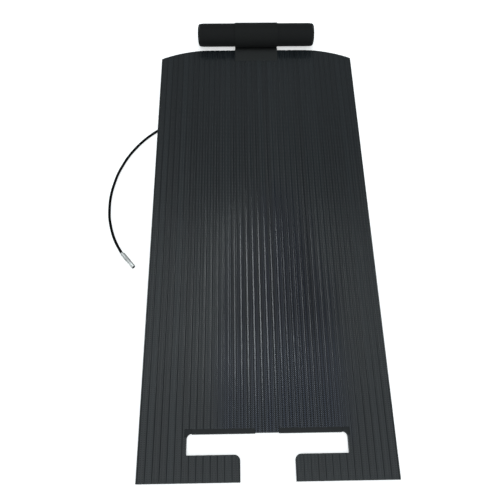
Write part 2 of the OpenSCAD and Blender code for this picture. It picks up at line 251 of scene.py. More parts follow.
def lathe(name, profile, place, axis, sides=96, ring=False):
    """A closed body of revolution about a level axis. profile is (along, radius) points, from one end to
    the other, or a closed loop round a hole if ring is true."""
    axis = Vector(axis).normalized()
    side = axis.cross(Vector((0, 0, 1)))
    verts, faces = [], []
    for along, radius in profile:
        for k in range(sides):
            t = 2 * math.pi * k / sides
            verts.append(place + axis * along + radius * (side * math.sin(t) + Vector((0, 0, math.cos(t)))))
    rings = len(profile)
    for j in range(rings if ring else rings - 1):
        a, b = j * sides, (j + 1) % rings * sides
        faces += [(a + k, a + (k + 1) % sides, b + (k + 1) % sides, b + k) for k in range(sides)]
    if not ring:
        last = (rings - 1) * sides
        faces += [tuple(range(sides)), tuple(range(last + sides - 1, last - 1, -1))]
    return new_object(name, verts, faces)


# ---- Output lead, on the route that its CAD tube takes ----

LEAD_R = 2.2 * MM
LEAD_SIDES = 24
LEAD_PARTS = 5                              # parts of the curve between two points of the route
LEAD_ROUTE_MM = [
    (-158, 188, 2.2), (-166, 188, 2.2), (-174, 184.5, 2.2), (-182, 179.5, 2.2),
    (-193, 170.5, 2.2), (-202.5, 161.5, 2.2), (-211.5, 151.5, 2.2), (-219.5, 141, 2.2),
    (-227, 130, 2.2), (-233.5, 118.5, 2.2), (-239, 106.5, 2.2), (-244, 94.5, 2.2),
    (-248, 82, 2.2), (-251, 69, 2.2), (-253.5, 56, 2.2), (-255, 43, 2.2),
    (-255.5, 30, 2.2), (-255, 17, 2.2), (-254, 4, 2.2), (-251.5, -9, 2.2),
    (-248, -22, 2.2), (-243.5, -35, 2.2), (-238, -47, 2.6), (-231.5, -58.5, 3.8),
    (-227.5, -65, 4.4), (-222.5, -71, 4.4),
]

# ---- Plug. Its profiles are in millimetres along its axis and out from it ----

PLUG_PLACE = Vector((-227.5, -65, 4.4)) * MM
PLUG_TURN = math.radians(-50)
PLUG_AXIS = (math.cos(PLUG_TURN), math.sin(PLUG_TURN), 0)
PLUG_BACK = 14.5
PLUG_SEAT_R = 3.6
SHELL_R = 4.4
SHELL_L = 20.5
BARREL_R = 3.95
BARREL_BORE = 3.2
PLUG_TIP = 32.5
GRIP_RINGS = 6
GRIP_PITCH = 1.7
GRIP_START = 5.2
GRIP_DEPTH = 0.3


def shell_profile():
    neck_r, bore_r = 3.1, 2.3
    loop = [(0, neck_r - 0.3), (0.3, neck_r), (2.3, neck_r), (2.6, SHELL_R - 0.6), (3.1, SHELL_R)]
    for k in range(GRIP_RINGS):
        x = GRIP_START + k * GRIP_PITCH
        low = SHELL_R - GRIP_DEPTH
        loop += [(x - 0.5, SHELL_R), (x - 0.25, low), (x + 0.25, low), (x + 0.5, SHELL_R)]
    loop += [(SHELL_L - 0.5, SHELL_R), (SHELL_L - 0.1, SHELL_R - 0.2), (SHELL_L, SHELL_R - 0.4)]
    return loop + [(SHELL_L, PLUG_SEAT_R), (PLUG_BACK, PLUG_SEAT_R), (PLUG_BACK, bore_r), (0, bore_r)]


def barrel_profile():
    seat_r, bore_r = PLUG_SEAT_R - 0.02, BARREL_BORE + 0.02
    outside = [(PLUG_BACK, seat_r), (SHELL_L, seat_r), (SHELL_L + 0.02, BARREL_R - 0.15),
               (SHELL_L + 0.2, BARREL_R), (PLUG_TIP - 0.5, BARREL_R), (PLUG_TIP - 0.15, BARREL_R - 0.1),
               (PLUG_TIP, BARREL_R - 0.3)]
    return outside + [(PLUG_TIP, bore_r + 0.13), (PLUG_TIP - 0.2, bore_r), (PLUG_BACK, bore_r)]


def plug_piece(name, profile, node):
    loop = [(x * MM, r * MM) for x, r in profile]
    piece = lathe(name, loop, PLUG_PLACE, PLUG_AXIS, sides=64, ring=True)
    shade_smooth(piece, 25)
    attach(piece, "panel_6")
    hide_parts(node)
    return piece


def make_plug():
    return [plug_piece("plug_grip_shell", shell_profile(), "plug_shell"),
            plug_piece("plug_contact_sleeve", barrel_profile(), "plug_barrel")]


def smooth_route(points, parts):
    """The points of a Catmull-Rom curve through the given ones, with so many parts between two of them."""
    p = [Vector(q) * MM for q in points]
    out = []
    for i in range(len(p) - 1):
        a, b, c, d = p[max(i - 1, 0)], p[i], p[i + 1], p[min(i + 2, len(p) - 1)]
        for k in range(parts):
            t = k / parts
            out.append(0.5 * (2 * b + (c - a) * t + (2 * a - 5 * b + 4 * c - d) * t * t
                              + (3 * b - a - 3 * c + d) * t ** 3))
    return out + [p[-1]]


def add_lead():
    points = smooth_route(LEAD_ROUTE_MM, LEAD_PARTS)
    cable = tube("output_lead_cable", points, LEAD_R, LEAD_SIDES)
    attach(cable, "panel_6")
    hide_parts("output_lead")
    return cable


plug = make_plug()
lead = add_lead()

# ---- Outline of the sheet ----

OUT = 20 * MM                               # how far a cutter runs past the sheet


def t_slot_points():
    right = [(THROAT_HALF, FOOT_Y - OUT)]
    right += arc(THROAT_HALF + FOOT_CORNER, FOOT_Y + FOOT_L - FOOT_CORNER, FOOT_CORNER, 180, 90)
    right += [(SLOT_HALF, FOOT_Y + FOOT_L)]
    right += arc(SLOT_HALF - SLOT_CORNER, SLOT_Y - SLOT_CORNER, SLOT_CORNER, 0, 90)
    return right + [(-x, y) for x, y in reversed(right)]


def shoulder_points(side):
    width = HALF_W - SHOULDER_X
    radius = (width ** 2 + SHOULDER_DROP ** 2) / (2 * SHOULDER_DROP)
    turn = math.degrees(math.asin(width / radius))
    edge = arc(SHOULDER_X, HEAD_Y - radius, radius, 90, 90 - turn, 24)
    past = edge[-1][1] - OUT * math.tan(math.radians(turn))
    points = [(SHOULDER_X, HEAD_Y + OUT)] + edge + [(HALF_W + OUT, past), (HALF_W + OUT, HEAD_Y + OUT)]
    return [(side * x, y) for x, y in points]


def cut_outline(obj, piece):
    if piece == 1:
        cut(obj, outline_prism("cutter", t_slot_points(), -OUT, OUT))
    if piece == PANELS - 1:
        for side in (-1, 1):
            cut(obj, outline_prism("cutter", shoulder_points(side), -OUT, OUT))


def box_points(x0, x1, y0, y1):
    return [(x0, y0), (x1, y0), (x1, y1), (x0, y1)]


# ---- Sheet layers, in six pieces, each round one joint ----


def joint_y(piece):
    return FOOT_Y + piece * PANEL_L


def piece_span(piece, low=FOOT_Y, high=HEAD_Y):
    """From the middle of one stiff length to the middle of the next, or to the edge of the sheet."""
    y0 = low if piece == 1 else joint_y(piece) - PANEL_L / 2
    y1 = high if piece == PANELS - 1 else joint_y(piece) + PANEL_L / 2
    return y0, y1


def rows(piece, low=FOOT_Y, high=HEAD_Y, extra=()):
    y0, y1 = piece_span(piece, low, high)
    bend0, bend1 = joint_y(piece) - BEND_HALF, joint_y(piece) + BEND_HALF
    marks = [y0, *[y for y in extra if y0 < y < y1], bend0, bend1, y1]
    marks = sorted(set(marks))
    out = [y0]
    for a, b in zip(marks[:-1], marks[1:]):
        step = FINE_STEP if a >= bend0 - 1e-6 and b <= bend1 + 1e-6 else COARSE_STEP
        count = max(1, round((b - a) / step))
        out += [a + (b - a) * (k + 1) / count for k in range(count)]
    return np.array(out)


def bend(obj, piece, slot, *replaced):
    shade_smooth(obj)
    rest_map(obj)
    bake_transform(obj)
    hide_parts(*replaced)


def replaced_nodes(layer, piece):
    """Piece k stands for CAD length k, and the last one for the last two."""
    last = piece == PANELS - 1
    return [f"{layer}_{piece}"] + ([f"{layer}_{PANELS}"] if last else [])


RIB_MARKS = (0.0, 0.2, 0.38, 0.54, 0.66, 0.76, 0.84, 0.9, 0.98)   # columns of the mesh, from a rib's middle
CROWN_SUNK = 0.07 * MM                      # the crowns' tops, below the film's highest place
CROWN_LEAST = 0.25                          # share of the full crown that the flattest ribs keep
CROWN_SPREAD = 0.15                         # how much the crown varies from strip to strip
WAVE = 0.06 * MM                            # slow waves along each strip
EDGE_EASE = 0.4 * MM                        # width of the rounding at the sheet's sides
EDGE_DROP = 0.35 * MM                       # and its depth
ON_SIDE = HALF_W - 0.1 * MM                 # a point further out than this lies on a side
MARGIN_RISE = 0.9 * MM                      # width over which the margin rises to the first rib
BAND_EDGE = 0.8 * MM                        # width over which the film steps down to the foot band


def film_columns():
    marks = [-m for m in RIB_MARKS[:0:-1]] + list(RIB_MARKS)
    xs = [-HALF_W, -HALF_W + EDGE_EASE, -HALF_W + MARGIN - MARGIN_RISE]
    for k in range(STRIPS):
        centre = -HALF_W + MARGIN + (k + 0.5) * PITCH
        xs += [centre + m * PITCH / 2 for m in marks]
    xs += [-x for x in reversed(xs[:3])]
    return np.array(sorted(xs))


def rib_height(x, y):
    """Height of the front film: a low crown on each strip, a rounded groove between two strips. The sines are
    there to make no two strips alike."""
    u = np.clip((x + HALF_W - MARGIN) / PITCH, 0, STRIPS)
    strip = np.clip(np.floor(u), 0, STRIPS - 1)
    across = 2 * (u - strip) - 1
    middle = (strip + 0.5) * PITCH + MARGIN - HALF_W
    full = CROWN_LEAST + (1 - CROWN_LEAST) * np.exp(-((middle - FULL_X) / FULL_HALF) ** 2)
    crown = CROWN * full * (1 - CROWN_SPREAD + CROWN_SPREAD * np.sin(strip * 2.3 + 1.0)) * across ** 2
    depth = np.clip((np.abs(across) - (1 - GROOVE_W / PITCH)) / (GROOVE_W / PITCH), 0, 1)
    groove = (GROOVE_DEPTH - CROWN * full) * depth * depth * (3 - 2 * depth)
    wave = WAVE * np.sin(y * 31 + strip * 1.7) * np.sin(y * 11.3 + strip * 0.9) * (1 - across ** 2)
    height = FILM_TOP - CROWN_SUNK - crown - groove + wave
    margin = FILM_TOP - CROWN / 2
    height = np.where(np.abs(x) > HALF_W - MARGIN, margin, height)
    height = np.where(np.abs(x) > ON_SIDE, margin - EDGE_DROP, height)
    band = np.clip((FOOT_Y + FOOT_BAND - y) / BAND_EDGE + 0.5, 0, 1)
    return height * (1 - band) + (FILM_TOP - GROOVE_DEPTH) * band


def make_film(piece):
    extra = (FOOT_Y + FOOT_BAND - 0.5 * MM, FOOT_Y + FOOT_BAND + 0.5 * MM)
    film = slab(f"front_film_piece_{piece}", film_columns(), rows(piece, extra=extra), rib_height,
                lambda x, y: np.full_like(x, CELL_TOP))
    cut_outline(film, piece)
    if piece == 1:
        for side in (-1, 1):
            x0, x1 = sorted((side * TRIM_LOW.x, side * (TRIM_HIGH.x + OUT / 2)))
            trim = box_points(x0, x1, SLOT_Y - OUT / 4, TRIM_HIGH.y)
            cut(film, outline_prism("cutter", trim, -OUT, OUT))
    if piece == PANELS - 1:
        tab = box_points(TAB_LOW.x, TAB_HIGH.x, TAB_LOW.y, HEAD_Y + OUT)
        cut(film, outline_prism("cutter", tab, -OUT, OUT))
    bend(film, piece, "front_film", *replaced_nodes("front_film", piece))
    return film


def channel_points():
    """Outline of the channel that the lead leaves its moulding by."""
    wall = POCKET_LOW.x + 1 * MM
    out = -HALF_W - OUT / 4
    return [(out, LEAD_Y - 15 * MM), (out, LEAD_Y - 1 * MM), (wall - 12 * MM, LEAD_Y + 5 * MM),
            (wall, LEAD_Y + 5 * MM), (wall, LEAD_Y - 5 * MM), (wall - 10 * MM, LEAD_Y - 5 * MM)]


def cut_pocket(backing):
    """The pocket that the junction moulding sits in, right through the backing."""
    pocket = box_points(POCKET_LOW.x, POCKET_HIGH.x, POCKET_LOW.y, POCKET_HIGH.y)
    for points in (pocket, channel_points()):
        cut(backing, outline_prism("cutter", points, -OUT, OUT))


BACKING_STEP = 60 * MM                      # spacing of the backing's columns
BACKING_EASE = 0.5 * MM                     # width of the eased lower edge at the sheet's sides
BACKING_LIFT = 0.4 * MM                     # and how far it stands off the ground


def make_backing(piece):
    side = [2 * BACKING_STEP, HALF_W - BACKING_EASE, HALF_W]
    xs = np.array([-x for x in reversed(side)] + [-BACKING_STEP, 0, BACKING_STEP] + side)
    backing = slab(f"backing_piece_{piece}", xs, rows(piece),
                   lambda x, y: np.full_like(x, BACK_TOP),
                   lambda x, y: np.where(np.abs(x) > ON_SIDE, BACKING_LIFT, 0.0))
    cut_outline(backing, piece)
    if piece >= PANELS - 2:
        cut_pocket(backing)
    bend(backing, piece, "backing_rubber", *replaced_nodes("backing", piece))
    return backing


def make_boxes(name, spans, ys, z0, z1):
    """Long flat strips side by side in one mesh, one for each (x0, x1)."""
    verts, faces = [], []
    for x0, x1 in spans:
        base = len(verts)
        for y in ys:
            verts += [(x0, y, z0), (x1, y, z0), (x1, y, z1), (x0, y, z1)]
        for j in range(len(ys) - 1):
            a = base + 4 * j
            for k in range(4):
                faces.append((a + k, a + (k + 1) % 4, a + 4 + (k + 1) % 4, a + 4 + k))
        end = base + 4 * (len(ys) - 1)
        faces += [(base + 3, base + 2, base + 1, base), (end, end + 1, end + 2, end + 3)]
    return new_object(name, verts, faces)


def make_cells(piece):
    gap = 0.7 * MM
    edges = [-HALF_W + MARGIN + k * PITCH for k in range(STRIPS)]
    spans = [(x + gap, x + PITCH - gap) for x in edges]
    cells = make_boxes(f"cells_piece_{piece}", spans, rows(piece, CELL_Y0, CELL_Y1), BACK_TOP, CELL_TOP)
    bend(cells, piece, "cell_silicon", *replaced_nodes("cells", piece))
    return cells


def make_bus_ribbons(piece):
    width = 3 * MM
    spans = [(-RIBBON_X1, -RIBBON_X1 + width), (RIBBON_X1 - width, RIBBON_X1)]
    ys = rows(piece, CELL_Y0, CELL_Y1)
    ribbons = make_boxes(f"bus_ribbons_piece_{piece}", spans, ys, RIBBON_BOTTOM, BACK_TOP)
    bend(ribbons, piece, "bus_copper", *replaced_nodes("bus_ribbons", piece))
    return ribbons


films = [make_film(k) for k in range(1, PANELS)]
backings = [make_backing(k) for k in range(1, PANELS)]
cells = [make_cells(k) for k in range(1, PANELS)]
ribbons = [make_bus_ribbons(k) for k in range(1, PANELS)]

# ---- Bands: the neck strap and the slot's binding strips ----


def band(name, path, thickness, x0, x1, widen=lambda k: 0.0):
    """A flat strap of even thickness along a path of (y, z) points, between x0 and x1, with eased edges.
    widen(k) gives how much wider it is on each side at point k."""
    points = [Vector((0, y, z)) for y, z in path]
    ease = thickness * 0.3
    verts, faces = [], []
    for k, p in enumerate(points):
        ahead = (points[min(k + 1, len(points) - 1)] - points[max(k - 1, 0)]).normalized()
        out = Vector((0, -ahead.z, ahead.y))
        a, b = x0 - widen(k), x1 + widen(k)
        half = thickness / 2
        ring = [(a, -half + ease), (a, half - ease), (a + ease, half), (b - ease, half),
                (b, half - ease), (b, -half + ease), (b - ease, -half), (a + ease, -half)]
        verts += [Vector((x, 0, 0)) + p + out * h for x, h in ring]
    n = 8
    for k in range(len(points) - 1):
        a = k * n
        faces += [(a + i, a + (i + 1) % n, a + n + (i + 1) % n, a + n + i) for i in range(n)]
    last = (len(points) - 1) * n
    faces += [tuple(range(n - 1, -1, -1)), tuple(range(last, last + n))]
    obj = new_object(name, verts, faces)
    steps = [(q - p).length for p, q in zip(points[:-1], points[1:])]
    along = np.concatenate([[0], np.cumsum(steps)])
    store_map(obj, [(v.co.x, along[i // n]) for i, v in enumerate(obj.data.vertices)])
    shade_smooth(obj)
    return obj


FILLET = 2.5 * MM                           # rounding where the neck meets the head edge
STRAP_START = -13                           # degrees past the bolster's underside where the strap meets it
STRAP_END = 322                             # and where its tail tucks in behind the neck
TAB_ROWS = 18                               # rows of its mesh on the sheet
NECK_ROWS = 14                              # between the sheet and the bolster
LOOP_ROWS = 84                              # and round the bolster


def strap_path():
    mid = (TAB_LOW.z + TAB_HIGH.z) / 2
    radius = ROLL_R + STRAP_T / 2
    y0 = TAB_LOW.y
    path = [(y0 + (HEAD_Y - y0) * k / TAB_ROWS, mid) for k in range(TAB_ROWS + 1)]

    def on_ring(angle):
        t = math.radians(angle)
        return ROLL_AXIS.y + radius * math.sin(t), ROLL_AXIS.z - radius * math.cos(t)

    meet = on_ring(STRAP_START)
    path += [(HEAD_Y + (meet[0] - HEAD_Y) * k / NECK_ROWS, mid + (meet[1] - mid) * k / NECK_ROWS)
             for k in range(1, NECK_ROWS + 1)]
    step = (STRAP_END - STRAP_START) / LOOP_ROWS
    return path + [on_ring(STRAP_START + step * k) for k in range(1, LOOP_ROWS + 1)]


def make_neck_strap():
    path = strap_path()

    def widen(k):
        along = path[k][0] - HEAD_Y
        if not 0 < along < FILLET or k > TAB_ROWS + NECK_ROWS:
            return 0.0
        return FILLET - math.sqrt(FILLET ** 2 - (FILLET - along) ** 2)

    strap = band("neck_strap", path, STRAP_T, TAB_LOW.x, TAB_HIGH.x, widen)
    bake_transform(strap)
    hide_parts("neck_tab", "roll_wrap")
    return strap


def make_binding(side):
    """A strip folded over the slot's head side: a leg on top and a shorter one down the edge."""
    thick = 1.0 * MM
    mid = FILM_TOP - thick / 2
    edge = TRIM_LOW.y + thick / 2
    bow = 1.4 * MM
    leg_end = 0.6 * MM
    path = [(TRIM_HIGH.y + (edge + bow - TRIM_HIGH.y) * k / 6, mid) for k in range(7)]
    path += [(edge + bow - bow * math.sin(t), mid - bow + bow * math.cos(t))
             for t in (math.radians(a) for a in range(15, 91, 15))]
    path += [(edge, mid - bow - (mid - bow - leg_end) * k / 3) for k in range(1, 4)]
    x0, x1 = sorted((side * TRIM_LOW.x, side * TRIM_HIGH.x))
    name = "left" if side < 0 else "right"
    binding = band(f"slot_binding_{name}", path, thick, x0, x1)
    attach(binding, "panel_1")
    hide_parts(f"slot_trim_{name}")
    return binding


strap = make_neck_strap()
bindings = [make_binding(side) for side in (-1, 1)]

# ---- Bolster ----

BOLSTER_SHORT = 0.8 * MM                    # before it swells, the cover is so much shorter at each end
BOLSTER_FAT = 0.3 * MM                      # and so much thicker
BOLSTER_VOXEL = 5 * MM
BOLSTER_CAP = 1.3 * MM                      # how far the stuffing may push the cover out
BOLSTER_BOW = 0.9 * MM                      # how much fuller it is in the middle than at its ends
BOLSTER_DOME = 4.5 * MM
DOME_ALONG, DOME_OUT = 0.8, 0.35            # powers that make the domed ends squarer than round ones
STRAP_PLAY = 0.1 * MM                       # room between the cover and the strap's loop
COVER_PROUD = 0.5 * MM                      # how far the cover stands out beside the strap
PRESSURE_STEPS = 20
STRAP_HALF = TAB_HIGH.x
NIP = 3 * MM                                # width over which the strap nips the cover in
SEAM_R = 0.45 * MM
SEAM_X = ROLL_HALF - 5 * MM
SEAM_SUNK = 0.2 * MM                        # how deep the piping is sewn into the cover
SEAM_POINTS = 96
SEAM_SIDES = 10
GROUND_GAP = 0.1 * MM                       # the cover stays this far above the ground


def bolster_profile(half, radius, dome):
    """(x, radius) from one domed end to the other, with rounded shoulders."""
    end = [(dome * math.sin(t) ** DOME_ALONG, radius * math.cos(t) ** DOME_OUT)
           for t in (math.radians(a) for a in range(0, 88, 6))]
    right = [(half - dome + x, r) for x, r in end]
    straight = np.linspace(-(half - dome), half - dome, 40)[1:-1]
    return [(-x, r) for x, r in reversed(right)] + [(x, radius) for x in straight] + right


def swell(obj, hold):
    """The cover swells under the pressure of its stuffing. hold says which points the strap keeps still."""
    rest = np.array([v.co for v in obj.data.vertices])
    group = obj.vertex_groups.new(name="held")
    group.add([i for i, c in enumerate(rest) if hold(c)], 1.0, "REPLACE")
    cloth = obj.modifiers.new("cloth", "CLOTH")
    cloth.settings.use_pressure = True
    cloth.settings.uniform_pressure_force = 4
    cloth.settings.effector_weights.gravity = 0
    cloth.settings.tension_stiffness = 25
    cloth.settings.compression_stiffness = 25
    cloth.settings.bending_stiffness = 0.6
    cloth.settings.vertex_group_mass = "held"
    scene = bpy.context.scene
    for step in range(1, PRESSURE_STEPS + 1):
        scene.frame_set(step)
    apply_modifiers(obj)
    scene.frame_set(1)
    moved = np.array([v.co for v in obj.data.vertices])
    shift = moved - rest
    length = np.linalg.norm(shift, axis=1, keepdims=True)
    rest += shift * np.minimum(1, BOLSTER_CAP / np.maximum(length, 1e-9))
    obj.data.vertices.foreach_set("co", rest.ravel())
    obj.data.update()


def nip_in(obj):
    """Keeps the cover inside the strap's loop, and a little proud of it beside the strap, where the cover
    is flat on the ground."""
    co = np.array([v.co for v in obj.data.vertices])
    centre = np.array(ROLL_AXIS[1:])
    across = co[:, 1:] - centre
    radius = np.linalg.norm(across, axis=1)
    free = np.clip((np.abs(co[:, 0]) - STRAP_HALF) / NIP, 0, 1)
    bow = BOLSTER_BOW * (1 - (co[:, 0] / ROLL_HALF) ** 2)
    limit = ROLL_R - STRAP_PLAY + free * (COVER_PROUD + bow)
    co[:, 1:] = centre + across * np.minimum(1, limit / np.maximum(radius, 1e-9))[:, None]
    co[:, 2] = np.maximum(co[:, 2], GROUND_GAP)
    obj.data.vertices.foreach_set("co", co.ravel())


def make_bolster():
    profile = bolster_profile(ROLL_HALF - BOLSTER_SHORT, ROLL_R + BOLSTER_FAT, BOLSTER_DOME)
    bolster = lathe("bolster_cover", profile, ROLL_AXIS, (1, 0, 0))
    remesh = bolster.modifiers.new("remesh", "REMESH")
    remesh.mode = "VOXEL"
    remesh.voxel_size = BOLSTER_VOXEL
    apply_modifiers(bolster)
    swell(bolster, lambda c: abs(c[0]) < STRAP_HALF)
    smooth = bolster.modifiers.new("subdivide", "SUBSURF")
    smooth.levels = smooth.render_levels = 1
    apply_modifiers(bolster)
    nip_in(bolster)
    shade_smooth(bolster, 60)
    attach(bolster, "roll")
    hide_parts("roll_cover", "roll_end_left", "roll_end_right")
    return bolster


def smoothed(values, times):
    """Evens out a closed run of values."""
    for _ in range(times):
        values = [(values[k - 1] + 2 * v + values[(k + 1) % len(values)]) / 4 for k, v in enumerate(values)]
    return values


def make_seam(side, cover):
    """A piped seam round the bolster where a domed end is sewn in, laid on the cover as it came out."""
    tree = BVHTree.FromObject(cover, bpy.context.evaluated_depsgraph_get())
    points = []
    for k in range(SEAM_POINTS):
        t = 2 * math.pi * k / SEAM_POINTS
        out = Vector((0, math.sin(t), math.cos(t)))
        start = Vector((side * SEAM_X, ROLL_AXIS.y, ROLL_AXIS.z)) + out * 2 * ROLL_R
        points.append((tree.ray_cast(start, -out)[0] - start).length)
    radii = smoothed([2 * ROLL_R - p for p in points], 3)
    verts, faces = [], []
    for k, radius in enumerate(radii):
        t = 2 * math.pi * k / SEAM_POINTS
        out = Vector((0, math.sin(t), math.cos(t)))
        centre = Vector((side * SEAM_X, ROLL_AXIS.y, ROLL_AXIS.z)) + out * (radius - SEAM_SUNK)
        for i in range(SEAM_SIDES):
            a = 2 * math.pi * i / SEAM_SIDES
            verts.append(centre + SEAM_R * (out * math.cos(a) + Vector((math.sin(a), 0, 0))))
        near, far = k * SEAM_SIDES, (k + 1) % SEAM_POINTS * SEAM_SIDES
        faces += [(near + i, near + (i + 1) % SEAM_SIDES, far + (i + 1) % SEAM_SIDES, far + i)
                  for i in range(SEAM_SIDES)]
    seam = new_object("bolster_seam_" + ("left" if side < 0 else "right"), verts, faces)
    shade_smooth(seam, 60)
    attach(seam, "roll")
    return seam


bolster = make_bolster()
seams = [make_seam(side, bolster) for side in (-1, 1)]

# ---- Shader nodes ----


class Nodes:
    """Short ways to make and link the nodes of a tree."""

    def __init__(self, tree):
        self.tree = tree

    def node(self, kind, **settings):
        node = self.tree.nodes.new("ShaderNode" + kind)
        for name, value in settings.items():
            setattr(node, name, value)
        return node

    def feed(self, socket, value):
        """Links an output to the socket, or gives it a number or colour."""
        if isinstance(value, bpy.types.NodeSocket):
            self.tree.links.new(value, socket)
        else:
            socket.default_value = (*value, 1) if isinstance(value, tuple) and len(value) == 3 else value

    def math(self, operation, *values):
        node = self.node("Math", operation=operation)
        for socket, value in zip(node.inputs, values):
            self.feed(socket, value)
        return node.outputs[0]

    def axes(self, vector):
        node = self.node("SeparateXYZ")
        self.feed(node.inputs[0], vector)
        return node.outputs

    def step(self, value, low, high, start=0.0, end=1.0):
        """A smooth step from start, where value is low, to end, where it is high."""
        node = self.node("MapRange", interpolation_type="SMOOTHSTEP")
        for socket, number in zip(node.inputs, (value, low, high, start, end)):
            self.feed(socket, number)
        return node.outputs["Result"]

    def mix(self, factor, a, b, clamp=True):
        node = self.node("Mix", data_type="RGBA", clamp_factor=clamp)
        for socket, value in zip((node.inputs["Factor"], node.inputs[6], node.inputs[7]), (factor, a, b)):
            self.feed(socket, value)
        return node.outputs[2]


# ---- Floor, lights and world ----

FLOOR_HALF = 6
FLOOR_Z = -0.5 * MM
WORLD_STRENGTH = 1.0
WORLD_COLOR = (0.91, 0.98, 1.0)
WORLD_LOW, WORLD_HIGH = 0.58, 1.0           # heights, from the horizon at 0 to straight up at 1
WORLD_HORIZON, WORLD_TOP = 0.22, 1.4        # brightness below the first height and at the second
FRONT_EDGE = (-0.05, -0.4)                  # in front of this the room is bright all the way down
STEEPEST = 0.05                             # least height that a slope is worked out from
GAP_X = 0.07                                # middle of the gap, as a slope away from straight up
GAP_SPREAD = 0.2                            # how fast it widens away from the foot's side
GAP_EDGE = (0.03, 0.1)                      # slopes between which its sides fade out
GAP_NEAR = (0.16, 0.04)                     # and its end on the foot's side
GAP_FAR = (0.6, 1.0)                        # and its other end
GAP_LEVEL = 0.12                            # its brightness, as a share of the room's
FLOOR_GLOW = 0.5
STRIP_LIGHT = (0.04, 0.6, 2.0)              # middle of the strip light
STRIP_SIZE = (0.06, 0.9)
STRIP_POWER = 4.5


def add_floor():
    corners = [(-1, -1), (1, -1), (1, 1), (-1, 1)]
    verts = [(x * FLOOR_HALF, y * FLOOR_HALF, FLOOR_Z) for x, y in corners]
    floor = new_object("floor", verts, [(0, 1, 2, 3)])
    return floor


def add_area_light(name, place, aim, size, power):
    data = bpy.data.lights.new(name, "AREA")
    data.shape = "RECTANGLE"
    data.size, data.size_y = size
    data.energy = power
    data.color = WORLD_COLOR
    light = bpy.data.objects.new(name, data)
    light.location = place
    light.rotation_euler = (Vector(aim) - Vector(place)).to_track_quat("-Z", "Y").to_euler()
    bpy.context.collection.objects.link(light)


def add_world():
    """A white room, brightest overhead, with a darker gap between its two rows of ceiling lights."""
    world = bpy.data.worlds.new("studio")
    bpy.context.scene.world = world
    world.use_nodes = True
    w = Nodes(world.node_tree)
    x, y, z = w.axes(w.node("TexCoord").outputs["Generated"])
    up = w.math("MAXIMUM", z, STEEPEST)
    overhead = w.step(z, WORLD_LOW, WORLD_HIGH, WORLD_HORIZON, WORLD_TOP)
    fade = w.math("MAXIMUM", overhead, w.step(y, *FRONT_EDGE))
    along = w.math("DIVIDE", y, up)
    from_gap = w.math("ABSOLUTE", w.math("SUBTRACT", w.math("DIVIDE", x, up), GAP_X))
    past_width = w.math("SUBTRACT", from_gap, w.math("MULTIPLY", along, GAP_SPREAD))
    past_ends = w.math("MAXIMUM", w.step(along, *GAP_FAR), w.step(along, *GAP_NEAR))
    gap = w.math("MAXIMUM", w.step(past_width, *GAP_EDGE), past_ends)
    light = w.math("MULTIPLY", fade, w.math("MULTIPLY_ADD", gap, 1 - GAP_LEVEL, GAP_LEVEL))
    background = w.tree.nodes["Background"]
    w.feed(background.inputs["Color"], w.mix(light, (0.0, 0.0, 0.0), WORLD_COLOR, clamp=False))
    w.feed(background.inputs["Strength"], WORLD_STRENGTH)


floor = add_floor()
add_world()
add_area_light("strip_softbox", STRIP_LIGHT, (STRIP_LIGHT[0], STRIP_LIGHT[1], 0), STRIP_SIZE, STRIP_POWER)
bpy.context.scene.view_settings.view_transform = "Standard"

# ---- Materials ----


class Finish(Nodes):
    """A Principled material, with short ways to make the nodes that drive its sockets."""

    def __init__(self, name, roughness=0.5, specular=0.5, metallic=0.0):
        self.material = bpy.data.materials.new(name)
        self.material.use_nodes = True
        super().__init__(self.material.node_tree)
        self.shader = self.tree.nodes["Principled BSDF"]
        constants = {"Roughness": roughness, "Specular IOR Level": specular, "Metallic": metallic}
        for socket, value in constants.items():
            self.set(socket, value)

    def set(self, name, value):
        self.feed(self.shader.inputs[name], value)

    def place(self):
        """The point on the piece, in metres, for pieces that don't bend."""
        return self.node("TexCoord").outputs["Object"]

    def rest(self):
        """The point's flat rest place, in decimetres, for pieces that bend."""
        return self.node("UVMap", uv_map="rest").outputs["UV"]

    def stretched(self, vector, scale):
        node = self.node("VectorMath", operation="MULTIPLY")
        self.feed(node.inputs[0], vector)
        node.inputs[1].default_value = scale
        return node.outputs[0]

    def noise(self, vector, scale, detail=3.0):
        node = self.node("TexNoise")
        self.feed(node.inputs["Vector"], vector)
        self.feed(node.inputs["Scale"], scale)
        self.feed(node.inputs["Detail"], detail)
        return node.outputs[0]

    def pebbles(self, vector, scale):
        node = self.node("TexVoronoi")
        self.feed(node.inputs["Vector"], vector)
        self.feed(node.inputs["Scale"], scale)
        return node.outputs["Distance"]

    def random(self, value):
        node = self.node("TexWhiteNoise", noise_dimensions="1D")
        self.feed(node.inputs["W"], value)
        return node.outputs["Value"]

    def bump(self, height, depth):
        """Raises the surface by height, from 0 to 1, times depth in metres."""
        node = self.node("Bump")
        node.inputs["Distance"].default_value = depth
        self.feed(node.inputs["Height"], height)
        self.set("Normal", node.outputs[0])

    def weave(self, across, along, pitch):
        """A plain weave of round threads. across and along are in the same unit as pitch."""
        turn = 2 * math.pi / pitch
        warp = self.math("SINE", self.math("MULTIPLY", across, turn))
        weft = self.math("SINE", self.math("MULTIPLY", along, turn))
        return self.math("MULTIPLY_ADD", self.math("MULTIPLY", warp, weft), 0.5, 0.5)


FILM_BLACK = (0.0115, 0.0148, 0.0172)
# In the lit oval the navy below is partly the cells' own colour and partly painted shade, and the dots'
# bright colour is a painted highlight
FILM_NAVY = (0.005, 0.0075, 0.018)
FILM_DEEP = (0.006, 0.0075, 0.009)
FILM_LINE = (0.0022, 0.0025, 0.0035)
FILM_DOT_GLINT = (0.095, 0.108, 0.135)
FILM_RELIEF = 0.5 * MM
